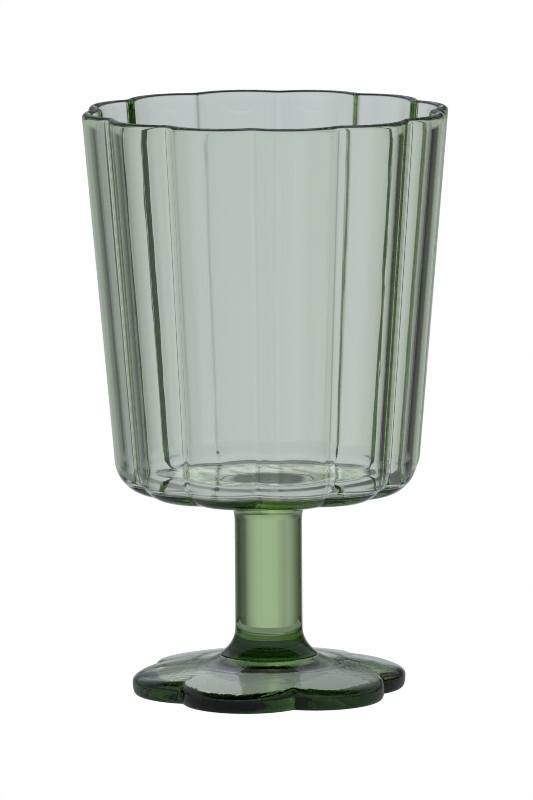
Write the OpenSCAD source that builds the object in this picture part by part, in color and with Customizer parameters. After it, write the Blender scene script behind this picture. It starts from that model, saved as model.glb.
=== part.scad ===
// Footed glass: fluted tapered bowl, solid round stem and six-petal foot.
// The three pieces of glass are fused end to end, so they meet on flat faces.
// Millimetres, Z up. The origin is on the table under the stem's axis, and angles
// are measured from the front (-Y) towards +X.

/* [Overall] */
// Height from the table to the top of the rim
height = 134.4; // [125:0.1:145]
// Height of the bowl's underside above the table
bowl_z = 46.1; // [40:0.1:55]

/* [Bowl] */
// Diameter across the flute crests at the rim
rim_d = 85; // [80:0.5:90]
// Diameter across the flute crests where the walls would meet the underside
base_d = 69.8; // [64:0.1:76]
// Number of flutes round the bowl
flutes = 12; // [10:2:14]
// How far the cusps lie inside the crests at the rim, as a part of the radius
rim_dip = 0.064; // [0.03:0.001:0.085]
// How far the cusps lie inside the crests at the underside
base_dip = 0.062; // [0.03:0.001:0.085]
// Radius of the rounded groove between two flutes at the rim
flute_groove_r = 1.9; // [1:0.1:3]
// Radius of the softer ridges inside the bowl, behind those grooves
inner_groove_r = 4.3; // [2:0.1:5]
// Angle of one flute crest from the front
flute_turn = 10.5; // [0:0.5:30]
// Wall thickness at the rim
rim_wall = 2.4; // [1.4:0.1:3]
// Wall thickness just above the floor
low_wall = 2.3; // [1.6:0.1:3.4]
// Thickness of the bowl's floor
floor_t = 2.6; // [2:0.1:6]
// Radius of the outer corner between wall and underside
corner_r = 9; // [5:0.5:11]
// Radius of the inner corner between wall and floor
inner_corner_r = 2.4; // [1.5:0.1:6]

/* [Stem] */
// Diameter of the stem's straight length
stem_d = 15.5; // [12:0.1:19]
// Diameter of the flared top that is fused to the bowl
top_flare_d = 25; // [21:0.5:30]
// Height of the flare under the bowl
top_flare_h = 6.4; // [5:0.1:10]
// Diameter of the face where stem and foot are fused
joint_d = 22.8; // [20:0.1:26]

/* [Foot] */
// Diameter across the petal tips
foot_d = 63.6; // [62:0.1:72]
// Number of petals
petals = 6; // [4:2:8]
// How far the cusps between petals lie inside the tips, as a part of the radius
petal_dip = 0.137; // [0.05:0.001:0.15]
// Radius of the rounded groove between two petals
petal_groove_r = 1.5; // [0.5:0.1:2]
// Angle of one petal's centre from the front
petal_turn = 42; // [0:0.5:60]
// Diameter where the hollow curve under the stem ends
hollow_d = 36; // [30:0.1:40]
// Height where that curve ends
hollow_z = 6.55; // [6:0.05:8]
// Height of the petals just inside their rounded edge
shoulder_z = 4.5; // [4:0.05:5.5]
// Height at which the foot is widest
edge_z = 2.8; // [1.5:0.1:3.2]
// Width of the rounded upper edge
shoulder_w = 2.3; // [1:0.1:3]
// Width of the small curve from the edge to the underside
heel_w = 0.9; // [0.4:0.1:1.5]
// Depth of the crease that runs in from each cusp
crease = 0.3; // [0:0.1:0.8]
// Diameter of the shallow dome under the foot, which stands on the ring outside it
dome_d = 51; // [40:0.5:52]
// Height of that dome
dome_h = 3; // [0.5:0.1:4]

/* [Hidden] */
// Points round one flute and round one petal
flute_points = 8;
petal_points = 16;
// Length of the stem's lower curve, which runs on into the foot
curve_h = 8;
// Depth of the flutes inside the bowl over their depth outside
inner_share = 0.98;
// Power of the rounded foot edge: 2 is an ellipse
edge_power = 2.4;
// Rise of the foot's top between the hollow curve and the edge
top_bow = 0.15;
stem_r = stem_d / 2;
curve_w = hollow_d / 2 - stem_r;
joint_a = acos(1 - (joint_d / 2 - stem_r) / curve_w);
joint_z = hollow_z + curve_h * (1 - sin(joint_a));

// A value part way from p to q
function mix(p, q, t) = p + (q - p) * t;
// Smooth step from 0 to 1
function ease(t) = let (u = min(max(t, 0), 1)) u * u * (3 - 2 * u);
// Angle from the nearest crest of n
function fold(a, n) = abs((a % (360 / n) + 540 / n) % (360 / n) - 180 / n);

// Angles round a ring of n lobes with k points each, closest together at the cusps
function ring_angles(n, k) =
    [
        for (i = [0:n - 1])
            for (j = [0:k - 1])
                (360 * i - 180 * cos(180 * j / k)) / n
    ];

// Radius at angle a of n equal round lobes with their crests at radius r, joined
// by round grooves that reach in by `dip`
function lobes(a, n, r, dip, groove) =
    let (
        half = 180 / n,
        far = r + groove,
        d = r * (1 - dip) + groove,
        c = (far * far - d * d) / (2 * (far - d * cos(half))),
        q = r - c,
        share = q / (q + groove),
        meet = atan2(share * d * sin(half), mix(c, d * cos(half), share)),
        f = fold(a, n),
        g = half - f
    )
    f < meet
        ? c * cos(f) + sqrt(q * q - pow(c * sin(f), 2))
        : d * cos(g) - sqrt(groove * groove - pow(d * sin(g), 2));

// Point at angle a from the front
function around(a, r, z) = [r * sin(a), -r * cos(a), z];

// Skin over closed rings that all have the same number of points
module loft(rings) {
    count = len(rings[0]);
    last = len(rings) - 1;
    skin = [
        for (k = [0:last - 1])
            for (i = [0:count - 1])
                let (j = (i + 1) % count, low = k * count, top = low + count)
                    each [[low + i, top + i, low + j], [low + j, top + i, top + j]]
    ];
    first_cap = [for (i = [0:count - 1]) i];
    last_cap = [for (i = [count - 1:-1:0]) last * count + i];
    polyhedron(points = [for (ring = rings) each ring], faces = concat([first_cap], skin, [last_cap]));
}

// Bowl: crest radius, dip and wall thickness all run straight from base to rim
function up_wall(z) = (z - bowl_z) / (height - bowl_z);
function crest_r(z) = mix(base_d, rim_d, up_wall(z)) / 2;
function wall_t(z) = mix(low_wall, rim_wall, up_wall(z));

// Ring of the bowl: k runs from 0 on the outside to 1 on the inside, and s
// scales it in towards the axis round the corners
function bowl_ring(z, k, s) =
    let (r = crest_r(z), dip = mix(base_dip, rim_dip, up_wall(z)), wall = wall_t(z), size = 2 * r / rim_d)
    [
        for (a = ring_angles(flutes, flute_points))
            let (
                outer = lobes(a, flutes, r, dip, flute_groove_r * size),
                inner = lobes(a, flutes, r - wall, dip * inner_share, inner_groove_r * size)
            )
            around(a + flute_turn, s * mix(outer, inner, k), z)
    ];

module bowl() {
    floor_z = bowl_z + floor_t;
    out_r = crest_r(bowl_z + corner_r) - corner_r;
    in_z = floor_z + inner_corner_r;
    in_r = crest_r(in_z) - wall_t(in_z) - inner_corner_r;
    lip = rim_wall / 2;
    outer_corner = [
        for (t = [0:15:90])
            let (z = bowl_z + corner_r * (1 - cos(t)), r = out_r + corner_r * sin(t))
                bowl_ring(z, 0, r / crest_r(z))
    ];
    rim = [
        for (t = [0:30:180])
            bowl_ring(height - lip + lip * sin(t), (1 - cos(t)) / 2, 1)
    ];
    inner_corner = [
        for (t = [90:-15:0])
            let (z = in_z - inner_corner_r * cos(t), r = in_r + inner_corner_r * sin(t))
                bowl_ring(z, 1, r / (crest_r(z) - wall_t(z)))
    ];
    color([0.70, 0.76, 0.71]) loft(concat(outer_corner, rim, inner_corner));
}

module stem() {
    top_flare = [
        for (t = [0:15:90])
            [top_flare_d / 2 - (top_flare_d / 2 - stem_r) * sin(t), bowl_z - top_flare_h * (1 - cos(t))]
    ];
    curve = [
        for (k = [0:12])
            let (t = joint_a * k / 12)
                [stem_r + curve_w * (1 - cos(t)), hollow_z + curve_h * (1 - sin(t))]
    ];
    color([0.56, 0.68, 0.50])
        rotate_extrude($fn = 120)
            polygon(concat([[0, bowl_z]], top_flare, curve, [[0, joint_z]]));
}

// Foot: radius of the petal outline at angle a from a petal's centre
function outline(a) = foot_d / 2 * lobes(a, petals, 1, petal_dip, petal_groove_r * 2 / foot_d);

// Height of the foot's upper face at radius r, with a shallow crease in from each cusp
function foot_top(a, r) =
    let (
        start = hollow_d / 2,
        t = (r - start) / (foot_d / 2 - shoulder_w - start),
        inward = (1 - outline(a) * 2 / foot_d) / petal_dip
    )
    mix(hollow_z, shoulder_z, t) + 4 * top_bow * t * (1 - t) - crease * ease(t) * pow(inward, 3);

module foot() {
    angles = ring_angles(petals, petal_points);
    power = 2 / edge_power;
    dome = [
        for (t = [0.1:0.15:1])
            [for (a = angles) around(a + petal_turn, dome_d / 2 * t, dome_h * (1 - t * t))]
    ];
    heel = [
        for (t = [90:-30:0])
            let (e = heel_w * (1 - pow(cos(t), power)), z = edge_z * (1 - pow(sin(t), power)))
                [for (a = angles) around(a + petal_turn, outline(a) - e, z)]
    ];
    edge = [
        for (t = [75:-15:0])
            let (e = shoulder_w * (1 - pow(sin(t), power)), up = pow(cos(t), power))
                [
                    for (a = angles)
                        let (r = outline(a) - e)
                            around(a + petal_turn, r, mix(edge_z, foot_top(a, r), up))
                ]
    ];
    top = [
        for (t = [0.8:-0.2:0])
            [
                for (a = angles)
                    let (r = mix(hollow_d / 2, outline(a) - shoulder_w, t))
                        around(a + petal_turn, r, foot_top(a, r))
            ]
    ];
    hollow = [
        for (k = [1:4])
            let (t = mix(90, joint_a, k / 4), r = stem_r + curve_w * (1 - cos(t)))
                [for (a = angles) around(a + petal_turn, r, hollow_z + curve_h * (1 - sin(t)))]
    ];
    color([0.42, 0.52, 0.42]) loft(concat(dome, heel, edge, top, hollow));
}

bowl();
stem();
foot();
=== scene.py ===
import math
import bpy
import numpy as np
from mathutils import Matrix, Vector


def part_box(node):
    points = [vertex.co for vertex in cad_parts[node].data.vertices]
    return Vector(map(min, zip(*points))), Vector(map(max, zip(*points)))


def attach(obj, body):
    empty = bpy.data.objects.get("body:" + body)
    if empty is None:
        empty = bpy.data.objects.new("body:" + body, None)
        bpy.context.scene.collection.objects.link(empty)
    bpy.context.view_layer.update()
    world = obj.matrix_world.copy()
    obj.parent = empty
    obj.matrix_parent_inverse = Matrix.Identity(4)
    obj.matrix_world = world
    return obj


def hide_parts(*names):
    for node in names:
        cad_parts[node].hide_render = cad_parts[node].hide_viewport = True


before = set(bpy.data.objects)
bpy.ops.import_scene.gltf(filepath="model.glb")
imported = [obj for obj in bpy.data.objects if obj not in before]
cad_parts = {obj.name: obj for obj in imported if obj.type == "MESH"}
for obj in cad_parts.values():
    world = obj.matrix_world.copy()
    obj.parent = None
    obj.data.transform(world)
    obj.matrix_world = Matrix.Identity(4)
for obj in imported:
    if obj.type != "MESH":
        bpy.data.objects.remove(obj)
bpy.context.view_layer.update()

MM = 0.001

# ---------------------------------------------------------------- the frame
# The outer widths of bowl and foot, the bowl's two heights and the stem's two ends come from the
# CAD boxes, and the other sizes are those of part.scad. Angles round the glass are measured from
# the front (-Y) towards +X.
bowl_lo, bowl_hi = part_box("bowl")
stem_lo, stem_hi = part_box("stem")
foot_lo, foot_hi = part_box("foot")

FLUTES = 12
PETALS = 6
FLUTE_TURN = math.radians(10.5)
PETAL_TURN = math.radians(42.0)
# How far cusps lie inside crests, as a share of the crest radius
RIM_DIP = 0.064
BASE_DIP = 0.062
PETAL_DIP = 0.137
# Crest radius at the underside over crest radius at the rim
BASE_SHARE = 69.8 / 85.0
# Crest radii of rim and foot in part.scad, which its groove radii belong to
CAD_RIM_R = 42.5 * MM
CAD_PETAL_R = 31.8 * MM

RIM_WALL = 2.4 * MM
LOW_WALL = 2.3 * MM
FLOOR_T = 2.6 * MM
CORNER_R = 9.0 * MM
INNER_CORNER_R = 2.4 * MM
# Groove radii at the rim, outside and inside; they shrink with the bowl further down
FLUTE_GROOVE_R = 1.9 * MM
INNER_GROOVE_R = 4.3 * MM
# Unevenness of the bowl's floor: how far its gentle ripples go up and down, their rough length,
# and how fast they grow inwards from the floor's edge
RIPPLE_H = 0.06 * MM
RIPPLE_L = 9.0 * MM
RIPPLE_GROWTH = 6.0
# Depth of the flutes inside the bowl over their depth outside
INNER_SHARE = 0.98

STEM_R = 7.75 * MM
TOP_FLARE_R = 12.5 * MM
TOP_FLARE_H = 6.4 * MM
JOINT_R = 11.4 * MM
CURVE_H = 8.0 * MM
HOLLOW_R = 18.0 * MM
HOLLOW_Z = 6.55 * MM
SHOULDER_Z = 4.5 * MM
EDGE_Z = 2.8 * MM
SHOULDER_W = 2.3 * MM
HEEL_W = 0.9 * MM
EDGE_POWER = 2.4
PETAL_BOW = 0.15 * MM
PETAL_GROOVE_R = 1.5 * MM
CREASE = 0.3 * MM
# Shallow dome under the foot, which rests on the ring outside it; the dome's innermost ring is
# at this share of its radius
DOME_R = 25.5 * MM
DOME_H = 3.0 * MM
DOME_START = 0.12

# Gap between fused faces, so that no two surfaces lie in one place
SEAM_GAP = 0.004 * MM

# Points of the meshes round one flute, round one petal and round the stem
FLUTE_POINTS = 36
PETAL_POINTS = 64
STEM_POINTS = 192


# ---------------------------------------------------------------- outlines
def ease(t):
    """Smooth step from 0 to 1."""
    u = np.clip(t, 0.0, 1.0)
    return u * u * (3.0 - 2.0 * u)


def mix(p, q, t):
    return p + (q - p) * t


def fold(a, n):
    """Angle from the nearest of n crests."""
    step = 2.0 * math.pi / n
    return np.abs(np.mod(a + step / 2.0, step) - step / 2.0)


def lobes(a, n, r, dip, groove):
    """Radius at angles a of n round lobes with crests at r, joined by round grooves that reach in by dip."""
    half = math.pi / n
    far = r + groove
    d = r * (1.0 - dip) + groove
    c = (far * far - d * d) / (2.0 * (far - d * math.cos(half)))
    q = r - c
    share = q / (q + groove)
    meet = math.atan2(share * d * math.sin(half), mix(c, d * math.cos(half), share))
    f = fold(a, n)
    g = half - f
    lobe = c * np.cos(f) + np.sqrt(np.maximum(q * q - (c * np.sin(f)) ** 2, 0.0))
    dent = d * np.cos(g) - np.sqrt(np.maximum(groove * groove - (d * np.sin(g)) ** 2, 0.0))
    return np.where(f < meet, lobe, dent)


def ring_angles(n, per_lobe):
    """Angles round a ring of n lobes, closer together at the cusps."""
    u = np.arange(per_lobe) / per_lobe * 2.0 - 1.0
    within = math.pi / n * np.sin(math.pi / 2.0 * u)
    return np.concatenate([within + k * 2.0 * math.pi / n for k in range(n)])


def around(a, r, z):
    """Points at angles a from the front."""
    return np.stack([r * np.sin(a), -r * np.cos(a), z + 0.0 * a], axis=1)


# ---------------------------------------------------------------- meshes
def skin(name, rings, fused=()):
    """A closed smooth mesh over rings of points, each closed end filled by a fan.

    fused holds 'first' or 'last' for an end that is fused to the next piece of glass.
    """
    count = len(rings[0])
    verts = np.concatenate(rings)
    ends = [verts[:count].mean(axis=0), verts[-count:].mean(axis=0)]
    first_mid = len(verts)
    last_mid = first_mid + 1
    faces = []
    for k in range(len(rings) - 1):
        low = k * count
        for i in range(count):
            j = (i + 1) % count
            faces.append((low + i, low + j, low + count + j, low + count + i))
    last = (len(rings) - 1) * count
    fans = len(faces)
    for i in range(count):
        j = (i + 1) % count
        faces.append((first_mid, j, i))
        faces.append((last_mid, last + i, last + j))
    mesh = bpy.data.meshes.new(name)
    mesh.from_pydata([tuple(v) for v in verts] + [tuple(e) for e in ends], [], faces)
    flag = mesh.attributes.new("fused", "FLOAT", "FACE")
    values = np.zeros(len(faces), np.float32)
    smooth = np.ones(len(faces), bool)
    for end, start in (("first", fans), ("last", fans + 1)):
        if end in fused:
            values[start::2] = 1.0
            smooth[start::2] = False
    flag.data.foreach_set("value", values)
    mesh.polygons.foreach_set("use_smooth", smooth)
    mesh.validate()
    mesh.update()
    piece = bpy.data.objects.new(name, mesh)
    bpy.context.scene.collection.objects.link(piece)
    return piece


def crest_radius(box_lo, box_hi, outline):
    """The crest radius that makes an outline of unit crest radius fill a box, tried every 0.05 degrees."""
    a = np.linspace(0.0, 2.0 * math.pi, 7201)
    reach = (outline(a) * np.sin(a)).max()
    return (box_hi[0] - box_lo[0]) / 2.0 / reach


# ---------------------------------------------------------------- bowl
BOWL_Z = bowl_lo[2]
RIM_Z = bowl_hi[2]
# The bowl is as wide as its box just below the rim's top, and CAD's facets make that box a little
# narrow, so this rim measures 0.4 mm less across its crests than the 85 mm of part.scad
RIM_R = crest_radius(
    bowl_lo, bowl_hi, lambda a: lobes(a - FLUTE_TURN, FLUTES, 1.0, RIM_DIP, FLUTE_GROOVE_R / CAD_RIM_R)
)
BASE_R = RIM_R * BASE_SHARE
BOWL_ANGLES = ring_angles(FLUTES, FLUTE_POINTS)


def up_wall(z):
    return (z - BOWL_Z) / (RIM_Z - BOWL_Z)


def crest_r(z):
    return mix(BASE_R, RIM_R, up_wall(z))


def wall_t(z):
    return mix(LOW_WALL, RIM_WALL, up_wall(z))


def bowl_ring(z, k, s, roundness=0.0):
    """A ring of the bowl: k is 0 outside and 1 inside, s scales it inwards, roundness fades the flutes."""
    r, dip, wall = crest_r(z), mix(BASE_DIP, RIM_DIP, up_wall(z)), wall_t(z)
    outer = lobes(BOWL_ANGLES, FLUTES, r, dip, FLUTE_GROOVE_R * r / RIM_R)
    inner = lobes(BOWL_ANGLES, FLUTES, r - wall, dip * INNER_SHARE, INNER_GROOVE_R * r / RIM_R)
    radius = s * mix(mix(outer, inner, k), mix(r, r - wall, k), roundness)
    return around(BOWL_ANGLES + FLUTE_TURN, radius, z)


def ripple(x, y):
    """Gentle unevenness from -1 to 1, as on glass that was shaped hot."""
    u, v = 2.0 * math.pi * x / RIPPLE_L, 2.0 * math.pi * y / RIPPLE_L
    return (np.sin(u + 0.6 * v + 0.4) + np.sin(0.7 * v - 0.5 * u + 2.0) + np.sin(1.6 * u + 1.1 * v)) / 3.0


def build_bowl():
    floor_z = BOWL_Z + FLOOR_T
    out_r = crest_r(BOWL_Z + CORNER_R) - CORNER_R
    in_z = floor_z + INNER_CORNER_R
    in_r = crest_r(in_z) - wall_t(in_z) - INNER_CORNER_R
    lip = RIM_WALL / 2.0
    rings = []
    for t in np.linspace(0.0, 1.0, 8)[:-1]:
        r = mix(TOP_FLARE_R, out_r, t)
        rings.append(bowl_ring(BOWL_Z, 0.0, r / crest_r(BOWL_Z), 1.0 - ease(t)))
    for t in np.linspace(0.0, math.pi / 2.0, 19):
        z = BOWL_Z + CORNER_R * (1.0 - math.cos(t))
        rings.append(bowl_ring(z, 0.0, (out_r + CORNER_R * math.sin(t)) / crest_r(z)))
    for z in np.linspace(BOWL_Z + CORNER_R, RIM_Z - lip, 31)[1:-1]:
        rings.append(bowl_ring(z, 0.0, 1.0))
    for t in np.linspace(0.0, math.pi, 15):
        rings.append(bowl_ring(RIM_Z - lip + lip * math.sin(t), (1.0 - math.cos(t)) / 2.0, 1.0))
    for z in np.linspace(RIM_Z - lip, in_z, 31)[1:-1]:
        rings.append(bowl_ring(z, 1.0, 1.0))
    for t in np.linspace(math.pi / 2.0, 0.0, 15):
        z = in_z - INNER_CORNER_R * math.cos(t)
        s = (in_r + INNER_CORNER_R * math.sin(t)) / (crest_r(z) - wall_t(z))
        rings.append(bowl_ring(z, 1.0, s))
    for t in np.linspace(1.0, 0.0, 29)[1:-1]:
        ring = bowl_ring(floor_z, 1.0, t * in_r / (crest_r(floor_z) - wall_t(floor_z)), 1.0 - ease(t))
        ring[:, 2] += RIPPLE_H * ripple(ring[:, 0], ring[:, 1]) * ease((1.0 - t) * RIPPLE_GROWTH)
        rings.append(ring)
    lift = np.array([0.0, 0.0, SEAM_GAP / 2.0])
    rings = [ring + lift * (ring[0, 2] < floor_z - FLOOR_T / 2.0) for ring in rings]
    return skin("glass_bowl", rings, fused=("first",))


# ---------------------------------------------------------------- stem
STEM_ANGLES = np.linspace(0.0, 2.0 * math.pi, STEM_POINTS + 1)[:-1]
JOINT_Z = stem_lo[2]
CURVE_W = HOLLOW_R - STEM_R
JOINT_A = math.acos(1.0 - (JOINT_R - STEM_R) / CURVE_W)


def build_stem():
    profile = []
    for t in np.linspace(JOINT_A, 0.0, 17):
        profile.append((STEM_R + CURVE_W * (1.0 - math.cos(t)), HOLLOW_Z + CURVE_H * (1.0 - math.sin(t))))
    for z in np.linspace(HOLLOW_Z + CURVE_H, stem_hi[2] - TOP_FLARE_H, 9)[1:-1]:
        profile.append((STEM_R, z))
    for t in np.linspace(math.pi / 2.0, 0.0, 11):
        r = TOP_FLARE_R - (TOP_FLARE_R - STEM_R) * math.sin(t)
        profile.append((r, stem_hi[2] - TOP_FLARE_H * (1.0 - math.cos(t))))
    profile[0] = (JOINT_R, JOINT_Z + SEAM_GAP / 2.0)
    profile[-1] = (TOP_FLARE_R, stem_hi[2] - SEAM_GAP / 2.0)
    rings = [around(STEM_ANGLES, r + 0.0 * STEM_ANGLES, z) for r, z in profile]
    return skin("glass_stem", rings, fused=("first", "last"))


# ---------------------------------------------------------------- foot
PETAL_R = crest_radius(
    foot_lo, foot_hi, lambda a: lobes(a - PETAL_TURN, PETALS, 1.0, PETAL_DIP, PETAL_GROOVE_R / CAD_PETAL_R)
)
FOOT_ANGLES = ring_angles(PETALS, PETAL_POINTS)


def foot_outline():
    """Radius of the petal outline at the foot's widest height."""
    return PETAL_R * lobes(FOOT_ANGLES, PETALS, 1.0, PETAL_DIP, PETAL_GROOVE_R / PETAL_R)


def foot_top(r):
    """Height of the foot's upper face at radius r, with a shallow crease in from each cusp."""
    t = (r - HOLLOW_R) / (PETAL_R - SHOULDER_W - HOLLOW_R)
    inward = (1.0 - foot_outline() / PETAL_R) / PETAL_DIP
    low = CREASE * ease(t) * inward**3
    return mix(HOLLOW_Z, SHOULDER_Z, t) + 4.0 * PETAL_BOW * t * (1.0 - t) - low


def build_foot():
    foot_z = foot_lo[2]
    outline = foot_outline()
    power = 2.0 / EDGE_POWER
    rings = []
    for t in np.linspace(DOME_START, 1.0, 23):
        rings.append((DOME_R * t, foot_z + DOME_H * (1.0 - t * t)))
    for t in np.linspace(math.pi / 2.0, 0.0, 11):
        z = foot_z + EDGE_Z * (1.0 - math.sin(t) ** power)
        rings.append((outline - HEEL_W * (1.0 - max(math.cos(t), 0.0) ** power), z))
    for t in np.linspace(math.pi / 2.0, 0.0, 25)[1:]:
        r = outline - SHOULDER_W * (1.0 - math.sin(t) ** power)
        rings.append((r, EDGE_Z + (foot_top(r) - EDGE_Z) * max(math.cos(t), 0.0) ** power))
    for t in np.linspace(1.0, 0.0, 17)[1:]:
        r = mix(HOLLOW_R, outline - SHOULDER_W, t)
        rings.append((r, foot_top(r)))
    for t in np.linspace(math.pi / 2.0, JOINT_A, 13)[1:]:
        rings.append((STEM_R + CURVE_W * (1.0 - math.cos(t)), HOLLOW_Z + CURVE_H * (1.0 - math.sin(t))))
    rings[-1] = (JOINT_R, JOINT_Z - SEAM_GAP / 2.0)
    rings = [around(FOOT_ANGLES + PETAL_TURN, r + 0.0 * FOOT_ANGLES, z) for r, z in rings]
    return skin("glass_foot", rings, fused=("last",))


# ---------------------------------------------------------------- glass
# Absorption of red, green and blue per metre of glass; the thick foot is a little greyer
ABSORB = {"bowl": (41.0, 22.0, 69.0), "stem": (41.0, 22.0, 69.0), "foot": (60.0, 40.0, 80.0)}
# Any density above those values will do: the shader's colour is worked out from it
ABSORB_DENSITY = 100.0
# Slight unevenness of each surface: height, and ripples per metre across, across and up. The bowl and
# stem have long upright streaks, the pressed foot a fine mottle
UNEVEN = {
    "bowl": (0.015 * MM, (420.0, 420.0, 2.0)),
    "stem": (0.012 * MM, (350.0, 350.0, 10.0)),
    "foot": (0.04 * MM, (500.0, 500.0, 500.0)),
}
GLASS_IOR = 1.5
FUSED_IOR = 1.0


def node(tree, kind, x, y, **values):
    made = tree.nodes.new(kind)
    made.location = (x, y)
    for key, value in values.items():
        setattr(made, key, value)
    return made


def green_glass(name, absorb, height, ripples):
    """Clear green glass that absorbs light in its depth and lets it straight through a fused seam."""
    mat = bpy.data.materials.new(name)
    mat.use_nodes = True
    tree = mat.node_tree
    tree.nodes.clear()
    out = node(tree, "ShaderNodeOutputMaterial", 600, 0)
    surface = node(tree, "ShaderNodeBsdfPrincipled", 300, 100)
    surface.inputs["Base Color"].default_value = (1.0, 1.0, 1.0, 1.0)
    surface.inputs["Roughness"].default_value = 0.0
    surface.inputs["Transmission Weight"].default_value = 1.0
    fused = node(tree, "ShaderNodeAttribute", -200, 0, attribute_name="fused")
    ior = node(tree, "ShaderNodeMapRange", 50, 0)
    ior.inputs["To Min"].default_value = GLASS_IOR
    ior.inputs["To Max"].default_value = FUSED_IOR
    tree.links.new(fused.outputs["Fac"], ior.inputs["Value"])
    tree.links.new(ior.outputs["Result"], surface.inputs["IOR"])
    where = node(tree, "ShaderNodeTexCoord", -800, 300)
    stretch = node(tree, "ShaderNodeMapping", -600, 300)
    stretch.inputs["Scale"].default_value = ripples
    noise = node(tree, "ShaderNodeTexNoise", -400, 300)
    noise.inputs["Scale"].default_value = 1.0
    noise.inputs["Detail"].default_value = 2.0
    bump = node(tree, "ShaderNodeBump", 50, 300)
    bump.inputs["Strength"].default_value = 1.0
    bump.inputs["Distance"].default_value = height
    tree.links.new(where.outputs["Object"], stretch.inputs["Vector"])
    tree.links.new(stretch.outputs["Vector"], noise.inputs["Vector"])
    tree.links.new(noise.outputs["Fac"], bump.inputs["Height"])
    tree.links.new(bump.outputs["Normal"], surface.inputs["Normal"])
    depth = node(tree, "ShaderNodeVolumeAbsorption", 300, -200)
    depth.inputs["Color"].default_value = (*[1.0 - a / ABSORB_DENSITY for a in absorb], 1.0)
    depth.inputs["Density"].default_value = ABSORB_DENSITY
    tree.links.new(surface.outputs["BSDF"], out.inputs["Surface"])
    tree.links.new(depth.outputs["Volume"], out.inputs["Volume"])
    return mat


# ---------------------------------------------------------------- pieces
for part, build in (("bowl", build_bowl), ("stem", build_stem), ("foot", build_foot)):
    piece = build()
    piece.data.materials.append(green_glass(f"green_glass_{part}", ABSORB[part], *UNEVEN[part]))
    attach(piece, "root")
    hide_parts(part)

# ---------------------------------------------------------------- stage
WHITE = (1.0, 1.0, 1.0, 1.0)
# Tint of the light that reaches the glass from the studio
STUDIO_TINT = (0.962, 1.0, 1.105)
FLOOR_HALF = 6.0
FLOOR_Z = -0.02 * MM
# The lit middle of the floor, just above the rest
NEAR_R = 60.0 * MM
NEAR_Z = -0.01 * MM
NEAR_LIGHT = 0.28

# The studio round the glass: for each elevation in degrees, brightness by the angle in degrees from
# straight behind the glass towards +X. A lit sweep with soft streaks stands behind, with dark flags
# at both sides of it and a lamp above it.
BELOW = ((-180, 0.03), (180, 0.03))
UNDER = (
    (-180, 0.9), (-120, 0.7), (-90, 0.45), (-60, 0.45), (-35, 0.45), (-15, 0.60), (15, 0.60),
    (35, 0.45), (90, 0.45), (120, 0.7), (180, 0.9),
)
FLAGS = (
    (-180, 0.70), (-135, 0.60), (-90, 0.48), (-76, 0.30), (-66, 0.03), (-59, 0.04), (-48, 0.14),
    (-36, 0.28), (-26, 0.44), (-19, 0.40), (-12, 0.50), (-8, 0.60), (-5.5, 0.57), (-3.5, 0.63),
    (-2, 0.58), (-0.8, 0.63), (0.4, 0.585), (1.6, 0.63), (3, 0.58), (5, 0.64), (8, 0.58), (12, 0.60),
    (19, 0.50), (26, 0.36), (34, 0.10), (44, 0.08), (56, 0.02), (74, 0.04), (88, 0.50), (135, 0.70),
    (180, 0.70),
)
LEVEL = (
    (-180, 0.40), (-120, 0.38), (-78, 0.42), (-62, 0.08), (-38, 0.12), (-25, 0.40), (-12, 0.56),
    (12, 0.56), (25, 0.40), (38, 0.08), (60, 0.02), (120, 0.05), (180, 0.40),
)
RAISED = (
    (-180, 0.60), (-60, 0.25), (-30, 0.20), (-12, 0.30), (-3, 0.34), (3, 0.16), (12, 0.12), (30, 0.12),
    (60, 0.10), (180, 0.40),
)
LAMP = (
    (-180, 0.60), (-60, 0.36), (-40, 0.36), (-22, 0.60), (-9, 0.98), (-2, 0.98), (2, 0.66), (9, 0.54),
    (22, 0.40), (40, 0.30), (60, 0.36), (180, 0.60),
)
TOP = ((-180, 0.03), (180, 0.03))
STUDIO = (
    (-90, BELOW), (-36, BELOW), (-27, UNDER), (-16, UNDER), (-13, FLAGS), (-5, FLAGS), (-3.5, LEVEL),
    (5, LEVEL), (8, RAISED), (16, RAISED), (21, LAMP), (46, LAMP), (51, TOP), (90, TOP),
)


def camera_or_else(tree, seen, other, socket):
    """Shows one shader to the camera and the other to everything else."""
    path = node(tree, "ShaderNodeLightPath", -200, 300)
    pick = node(tree, "ShaderNodeMixShader", 400, 0)
    tree.links.new(path.outputs["Is Camera Ray"], pick.inputs["Fac"])
    tree.links.new(other, pick.inputs[1])
    tree.links.new(seen, pick.inputs[2])
    tree.links.new(pick.outputs["Shader"], socket)


def plane(name, half, z, light):
    """A flat square that the camera sees as white and the glass sees as light."""
    mesh = bpy.data.meshes.new(name)
    corners = [(-1, -1), (1, -1), (1, 1), (-1, 1)]
    mesh.from_pydata([(x * half, y * half, z) for x, y in corners], [], [(0, 1, 2, 3)])
    made = bpy.data.objects.new(name, mesh)
    bpy.context.scene.collection.objects.link(made)
    mat = bpy.data.materials.new(name)
    mat.use_nodes = True
    tree = mat.node_tree
    tree.nodes.clear()
    out = node(tree, "ShaderNodeOutputMaterial", 600, 0)
    white = node(tree, "ShaderNodeEmission", 0, 0)
    white.inputs["Color"].default_value = WHITE
    near = node(tree, "ShaderNodeEmission", 0, -200)
    near.inputs["Color"].default_value = (*[light * c for c in STUDIO_TINT], 1.0)
    camera_or_else(tree, white.outputs["Emission"], near.outputs["Emission"], out.inputs["Surface"])
    mesh.materials.append(mat)
    return made


def build_floor():
    """A pale floor for the camera; only its middle lights the glass, and the studio does the rest."""
    wide = plane("floor", FLOOR_HALF, FLOOR_Z, NEAR_LIGHT)
    wide.visible_diffuse = False
    wide.visible_glossy = False
    wide.visible_transmission = False
    wide.visible_volume_scatter = False
    wide.visible_shadow = False
    plane("floor_middle", NEAR_R, NEAR_Z, NEAR_LIGHT)


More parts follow.
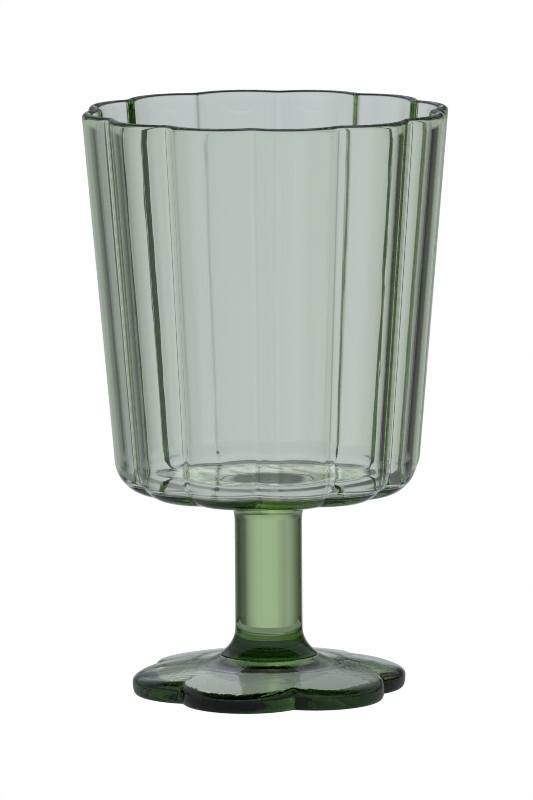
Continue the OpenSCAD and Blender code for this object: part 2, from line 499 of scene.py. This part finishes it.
def brightness(tree, socket, points, y):
    """Brightness along an angle in degrees, straight between the given points."""
    lo, hi = points[0][0], points[-1][0]
    share = node(tree, "ShaderNodeMapRange", -500, y)
    share.inputs["From Min"].default_value = lo
    share.inputs["From Max"].default_value = hi
    tree.links.new(socket, share.inputs["Value"])
    ramp = node(tree, "ShaderNodeValToRGB", -300, y)
    tree.links.new(share.outputs["Result"], ramp.inputs["Fac"])
    stops = ramp.color_ramp.elements
    while len(stops) > 1:
        stops.remove(stops[-1])
    for k, (at, level) in enumerate(points):
        place = (at - lo) / (hi - lo)
        stop = stops[0] if k == 0 else stops.new(place)
        stop.position = place
        stop.color = (level, level, level, 1.0)
    return ramp.outputs["Color"]


def math_node(tree, kind, a, b, x, y):
    """A math node whose two inputs are sockets or numbers; b is None where the kind has one input."""
    made = node(tree, "ShaderNodeMath", x, y, operation=kind)
    for k, value in enumerate((a, b)):
        if isinstance(value, (int, float)):
            made.inputs[k].default_value = value
        elif value is not None:
            tree.links.new(value, made.inputs[k])
    return made.outputs["Value"]


def build_world():
    """Plain white for the camera, and for the glass a studio with a lit sweep, flags and a lamp."""
    world = bpy.data.worlds.new("studio")
    world.use_nodes = True
    bpy.context.scene.world = world
    tree = world.node_tree
    tree.nodes.clear()
    out = node(tree, "ShaderNodeOutputWorld", 800, 0)
    where = node(tree, "ShaderNodeTexCoord", -1100, 0)
    parts = node(tree, "ShaderNodeSeparateXYZ", -900, 0)
    tree.links.new(where.outputs["Generated"], parts.inputs["Vector"])
    turn = math_node(tree, "ARCTAN2", parts.outputs["X"], parts.outputs["Y"], -800, 100)
    turn = math_node(tree, "MULTIPLY", turn, 180.0 / math.pi, -650, 100)
    rise = math_node(tree, "ARCSINE", parts.outputs["Z"], None, -800, -100)
    rise = math_node(tree, "MULTIPLY", rise, 180.0 / math.pi, -650, -100)
    level = brightness(tree, turn, STUDIO[0][1], 600)
    for k, ((low, before), (high, after)) in enumerate(zip(STUDIO[:-1], STUDIO[1:])):
        if after is before:
            continue
        share = node(tree, "ShaderNodeMapRange", -500, 300 - 300 * k)
        share.inputs["From Min"].default_value = low
        share.inputs["From Max"].default_value = high
        tree.links.new(rise, share.inputs["Value"])
        step = node(tree, "ShaderNodeMix", -50, 300 - 300 * k, data_type="FLOAT")
        tree.links.new(share.outputs["Result"], step.inputs["Factor"])
        tree.links.new(level, step.inputs["A"])
        tree.links.new(brightness(tree, turn, after, 150 - 300 * k), step.inputs["B"])
        level = step.outputs["Result"]
    white = node(tree, "ShaderNodeBackground", 400, 100)
    white.inputs["Color"].default_value = WHITE
    studio = node(tree, "ShaderNodeBackground", 400, -100)
    studio.inputs["Color"].default_value = (*STUDIO_TINT, 1.0)
    tree.links.new(level, studio.inputs["Strength"])
    camera_or_else(tree, white.outputs["Background"], studio.outputs["Background"], out.inputs["Surface"])


# The photo's viewpoint: a long lens a little above the rim, with a slight tilt of the frame
CAMERA_RISE = math.radians(8.6)
CAMERA_ROLL = math.radians(0.386)
CAMERA_DISTANCE = 1.7
CAMERA_TARGET = Vector((-0.22 * MM, 0.0, 67.33 * MM))
# Millimetres, as Blender's lens settings are
SENSOR_WIDTH = 36.0
FOCAL_LENGTH = 333.9


def build_camera():
    data = bpy.data.cameras.new("camera")
    data.sensor_width = SENSOR_WIDTH
    data.lens = FOCAL_LENGTH
    data.clip_start = 0.1
    data.clip_end = 40.0
    camera = bpy.data.objects.new("camera", data)
    back = Vector((0.0, -math.cos(CAMERA_RISE), math.sin(CAMERA_RISE)))
    turn = (-back).to_track_quat("-Z", "Y").to_matrix().to_4x4()
    place = Matrix.Translation(CAMERA_TARGET + back * CAMERA_DISTANCE)
    camera.matrix_world = place @ turn @ Matrix.Rotation(-CAMERA_ROLL, 4, "Z")
    bpy.context.scene.collection.objects.link(camera)
    bpy.context.scene.camera = camera


build_floor()
build_world()
build_camera()
scene = bpy.context.scene
scene.view_settings.view_transform = "Standard"
scene.cycles.filter_width = 1.0
scene.cycles.max_bounces = 32
scene.cycles.transmission_bounces = 32
scene.cycles.glossy_bounces = 16
